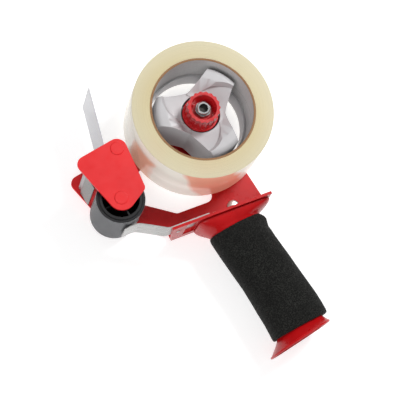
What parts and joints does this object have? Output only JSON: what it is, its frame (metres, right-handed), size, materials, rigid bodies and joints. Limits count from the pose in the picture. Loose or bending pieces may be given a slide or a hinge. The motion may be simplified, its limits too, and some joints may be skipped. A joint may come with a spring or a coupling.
{
  "type": "hand-held tape dispenser",
  "caption": "pistol-grip dispenser for packing tape: a braked roll on a hub, a rubber pressing roller, a toothed blade between guards and a foam-covered handle",
  "frame": {"origin": "centre of the bounding box's footprint, on the plane the object rests on", "axes": "+X along the frame's flange toward its rear end, +Y from the flange toward the roll, +Z along the roll's axle toward its open end"},
  "size_m": [0.1572, 0.2398, 0.0586],
  "materials": {
    "red_paint": "gloss enamel",
    "red_plastic": "satin moulded",
    "black_foam": "fine-celled foam",
    "chrome": "bright",
    "zinc": "zinc plated",
    "blade_steel": "ground",
    "black_plastic": "moulded",
    "grey_rubber": "ground",
    "hub_plastic": "moulded",
    "cardboard": "plain, white inside",
    "tape": "clear film in layers",
    "film": "clear film"
  },
  "bodies": {
    "frame": {"side_frame": "red_paint", "handle": "red_paint", "foam_grip": "black_foam", "leaf_root": "chrome", "leaf_rivet_1": "zinc", "leaf_rivet_2": "zinc", "handle_rivet_1": "zinc", "handle_rivet_2": "zinc", "handle_rivet_3": "zinc", "handle_rivet_4": "zinc", "plate_rivet": "zinc", "inner_guard": "red_plastic", "outer_guard": "red_plastic", "guide_pin": "zinc", "guide_sleeve": "black_plastic", "roller_axle": "zinc", "blade_holder": "chrome", "blade": "blade_steel", "axle_bolt": "zinc", "axle_nut": "zinc", "brake_washer": "zinc", "cap_nut": "chrome", "tension_spring": "zinc", "tape_web": "film"},
    "roll": {"hub": "hub_plastic", "tape_core": "cardboard", "tape_roll": "tape"},
    "roller": {"roller_core": "black_plastic", "roller_sleeve": "grey_rubber"},
    "leaf": {"leaf_tip": "chrome"},
    "pressure": {"knob_washer": "zinc"},
    "knob": {"tension_knob": "red_plastic"}
  },
  "joints": [
    {"name": "roll_spin", "type": "hinge", "parent": "frame", "child": "roll", "pos_m": [0.0252, 0.06654, 0.031], "axis": [0, 0, 1], "continuous": true},
    {"name": "roller_spin", "type": "hinge", "parent": "frame", "child": "roller", "pos_m": [-0.0578, 0.02414, 0.031], "axis": [0, 0, 1], "continuous": true},
    {"name": "leaf_flex", "type": "hinge", "parent": "frame", "child": "leaf", "pos_m": [-0.02995, -0.00646, 0.032], "axis": [0, 0, 1], "range_deg": [0, 4], "stiffness_Nm_per_rad": 2},
    {"name": "knob_press", "type": "slide", "parent": "frame", "child": "pressure", "axis": [0, 0, -1], "range_m": [0, 0.0007], "deforming": ["tension_spring"]},
    {"name": "knob_turn", "type": "hinge", "parent": "pressure", "child": "knob", "pos_m": [0.0252, 0.06654, 0.05], "axis": [0, 0, -1], "range_deg": [0, 180]}
  ],
  "couplings": [
    {"joint": "roller_spin", "follows": "roll_spin", "ratio": -2.9832},
    {"joint": "knob_press", "follows": "knob_turn", "m_per_rad": 0.00019894}
  ]
}
